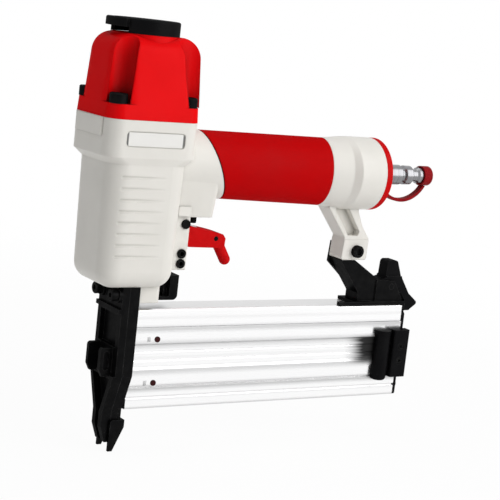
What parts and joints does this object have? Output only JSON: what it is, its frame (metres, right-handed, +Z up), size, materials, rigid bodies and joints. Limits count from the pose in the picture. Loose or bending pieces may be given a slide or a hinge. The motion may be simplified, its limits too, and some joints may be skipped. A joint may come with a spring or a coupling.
{
  "type": "pneumatic brad nailer",
  "caption": "Compressed-air brad nailer: upright cylinder with screwed cap and exhaust deflector, rear handle with trigger, sprung contact nose and a straight sliding magazine.",
  "frame": {"origin": "on the drive axis at the underside of the resting contact foot, where a brad leaves the tool", "axes": "+Z up the drive axis to the cap, +X back along the handle and magazine, -Y the side with the finger block"},
  "size_m": [0.2387, 0.0492, 0.243],
  "materials": {
    "white_paint": "satin white paint on die-cast aluminium",
    "red_paint": "satin red paint on die-cast aluminium",
    "red_rubber": "soft matt red",
    "red_plastic": "smooth red moulding",
    "black_plastic": "matt black moulding",
    "black_steel": "blackened steel, satin",
    "steel": "bright ground steel",
    "zinc_steel": "zinc-plated steel",
    "extruded_aluminium": "natural anodised extrusion",
    "bare_aluminium": "machined aluminium",
    "plated_plug": "bright plated steel",
    "black_rubber": "matt black rubber",
    "white_plastic": "nylon",
    "rivet_red": "dark red rivet heads"
  },
  "bodies": {
    "frame": {"deflector_screw": "black_steel", "cylinder_cap": "red_paint", "cap_screws": "black_steel", "cap_gasket": "black_rubber", "head_valve_spring": "steel", "cylinder_sleeve": "bare_aluminium", "sleeve_ring": "black_rubber", "bumper": "black_rubber", "body_housing": "white_paint", "grip_sleeve": "red_rubber", "end_cap": "white_paint", "end_cap_gasket": "black_rubber", "end_cap_screws": "black_steel", "tail_ring": "red_plastic", "air_plug": "plated_plug", "dust_strap": "red_plastic", "trigger_pin": "black_steel", "valve_body": "black_plastic", "valve_ring": "black_rubber", "valve_spring": "steel", "guide_pins": "black_steel", "nose_guide": "black_steel", "nose_front_plate": "black_steel", "nose_screws": "black_steel", "contact_spring": "steel", "magazine_rail": "extruded_aluminium", "rail_screws": "black_steel", "rear_bracket": "black_steel", "bracket_screws": "black_steel", "arm_bolt": "black_steel", "arm_nut": "black_steel", "latch_pin": "steel", "latch_spring": "steel"},
    "deflector": {"exhaust_deflector": "black_plastic"},
    "head_valve": {"head_valve": "white_plastic", "head_valve_ring": "black_rubber"},
    "driver": {"drive_piston": "bare_aluminium", "piston_ring": "black_rubber", "driver_blade": "steel", "blade_pin": "steel"},
    "trigger": {"trigger": "red_paint", "lever_pin": "steel"},
    "lever": {"trigger_lever": "zinc_steel"},
    "stem": {"valve_stem": "steel"},
    "contact": {"contact_foot": "black_steel", "contact_yoke": "black_steel"},
    "cover": {"magazine_cover": "extruded_aluminium", "cover_rivets": "rivet_red", "cover_end_plate": "black_plastic", "end_plate_screws": "black_steel", "finger_block": "black_plastic", "block_screws": "black_steel", "feed_spring": "steel"},
    "pusher": {"pusher": "zinc_steel"},
    "latch": {"latch_lever": "black_plastic"},
    "dust_cap": {"dust_cap": "red_plastic"}
  },
  "joints": [
    {"name": "deflector_swivel", "type": "hinge", "parent": "frame", "child": "deflector", "pos_m": [0, 0, 0.23515], "axis": [0, 0, 1], "continuous": true},
    {"name": "head_valve_lift", "type": "slide", "parent": "frame", "child": "head_valve", "axis": [0, 0, 1], "range_m": [0, 0.004], "stiffness_N_per_m": 400, "springref_m": -0.003, "deforming": ["head_valve_spring"]},
    {"name": "piston_stroke", "type": "slide", "parent": "frame", "child": "driver", "axis": [0, 0, -1], "range_m": [0, 0.0735]},
    {"name": "trigger_pull", "type": "hinge", "parent": "frame", "child": "trigger", "pos_m": [0.0314, 0, 0.132], "axis": [0, -1, 0], "range_deg": [0, 11]},
    {"name": "trigger_lever_tilt", "type": "hinge", "parent": "trigger", "child": "lever", "pos_m": [0.0549, 0, 0.1231], "axis": [0, 1, 0], "range_deg": [0, 6]},
    {"name": "valve_stem_push", "type": "slide", "parent": "frame", "child": "stem", "axis": [0, 0, 1], "range_m": [0, 0.0025], "stiffness_N_per_m": 150, "springref_m": -0.002, "deforming": ["valve_spring"]},
    {"name": "contact_trip", "type": "slide", "parent": "frame", "child": "contact", "axis": [0, 0, 1], "range_m": [0, 0.0045], "stiffness_N_per_m": 600, "springref_m": -0.004, "deforming": ["contact_spring"]},
    {"name": "magazine_slide", "type": "slide", "parent": "frame", "child": "cover", "axis": [1, 0, 0], "range_m": [0, 0.11]},
    {"name": "pusher_slide", "type": "slide", "parent": "cover", "child": "pusher", "axis": [1, 0, 0], "range_m": [0, 0.1], "stiffness_N_per_m": 12, "springref_m": -0.05, "deforming": ["feed_spring"]},
    {"name": "latch_turn", "type": "hinge", "parent": "frame", "child": "latch", "pos_m": [0.186, 0, 0.094], "axis": [0, -1, 0], "range_deg": [0, 12], "stiffness_Nm_per_rad": 0.3, "springref_deg": -11.46, "deforming": ["latch_spring"]},
    {"name": "dust_cap_pull", "type": "slide", "parent": "frame", "child": "dust_cap", "axis": [1, 0, 0], "range_m": [0, 0.014], "deforming": ["dust_strap"]}
  ],
  "couplings": [
    {"joint": "trigger_lever_tilt", "follows": "contact_trip", "rad_per_m": 23.2},
    {"joint": "trigger_pull", "follows": "valve_stem_push", "rad_per_m": 76.7}
  ]
}
